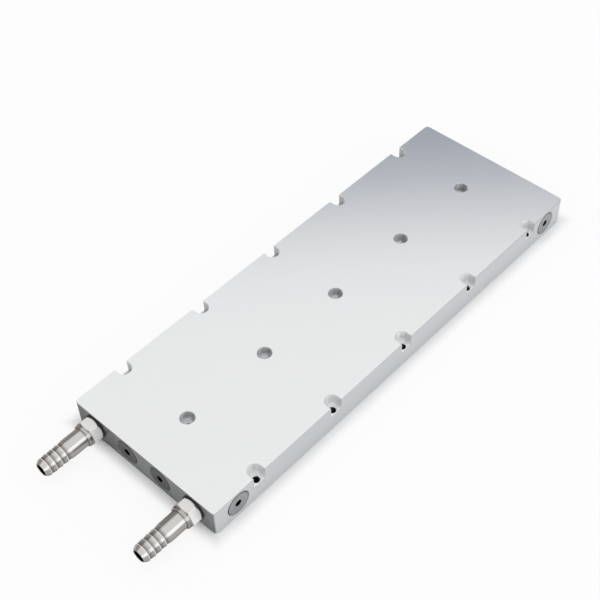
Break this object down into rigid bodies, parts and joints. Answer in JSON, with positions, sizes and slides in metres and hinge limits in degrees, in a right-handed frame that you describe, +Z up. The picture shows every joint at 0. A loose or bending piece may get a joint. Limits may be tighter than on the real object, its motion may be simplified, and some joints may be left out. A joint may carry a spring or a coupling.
{
  "type": "liquid cooling cold plate",
  "caption": "Flat aluminium cold plate with drilled coolant channels, hose barbs on one end, flush screw plugs and counterbored screw holes along its middle and long edges.",
  "frame": {"origin": "centre of the plate's underside, where the middle screw hole opens", "axes": "+X along the plate to the end away from the hose barbs, +Y to the inlet's side, +Z up through the plate to the cooling face"},
  "size_m": [0.3507, 0.11, 0.019],
  "materials": {
    "plate": "milled, fine satin",
    "hose_barb": "turned stainless steel, fine brushed",
    "plug": "turned face, satin",
    "seal": "matt black",
    "baffle": "as turned"
  },
  "bodies": {
    "root": {"plate_block": "plate", "inlet_hose_barb": "hose_barb", "outlet_hose_barb": "hose_barb", "inlet_sealing_washer": "seal", "outlet_sealing_washer": "seal", "front_cross_baffle": "baffle", "rear_cross_baffle": "baffle", "front_left_plug": "plug", "front_right_plug": "plug", "side_front_plug": "plug", "side_rear_plug": "plug", "front_left_plug_seal": "seal", "front_right_plug_seal": "seal", "side_front_plug_seal": "seal", "side_rear_plug_seal": "seal"}
  },
  "joints": []
}
